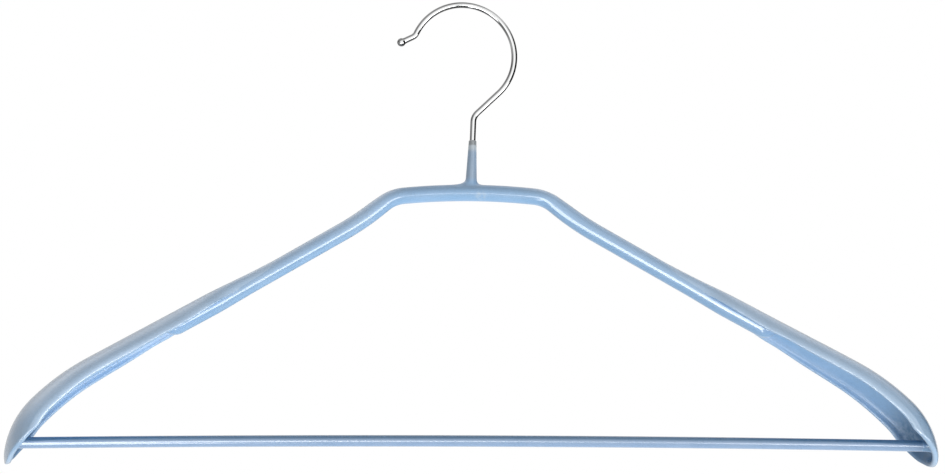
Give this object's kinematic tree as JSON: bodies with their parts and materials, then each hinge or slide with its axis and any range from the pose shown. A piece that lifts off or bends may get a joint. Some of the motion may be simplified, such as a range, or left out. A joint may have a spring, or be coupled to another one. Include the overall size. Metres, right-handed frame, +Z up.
{
  "type": "coat hanger",
  "caption": "Coated steel coat hanger with broad spoon-shaped shoulder shells, a straight trouser bar and a fixed chrome wire hook.",
  "frame": {"origin": "seat of the hook: the point inside the top of the loop where a rail touches it, in the wire's plane", "axes": "+X to the right arm as the hook opens to the left, +Y away from the viewer through the thickness, +Z up"},
  "size_m": [0.42, 0.0444, 0.2114],
  "materials": {
    "tube_coat": "satin light blue dipped plastic coat on steel tube",
    "shell_coat": "satin light blue dipped plastic coat on pressed steel",
    "bar_coat": "satin light blue dipped plastic coat on steel rod",
    "fillet_coat": "coated weld fillet",
    "sleeve_coat": "thick light blue dipped plastic",
    "chrome": "bright chrome",
    "weld_steel": "bare weld"
  },
  "bodies": {
    "root": {"arm_tube": "tube_coat", "shoulder_shell_left": "shell_coat", "shoulder_shell_right": "shell_coat", "trouser_bar": "bar_coat", "bar_weld_left": "fillet_coat", "bar_weld_right": "fillet_coat", "hook_wire": "chrome", "hook_weld": "weld_steel", "stem_sleeve": "sleeve_coat"}
  },
  "joints": []
}
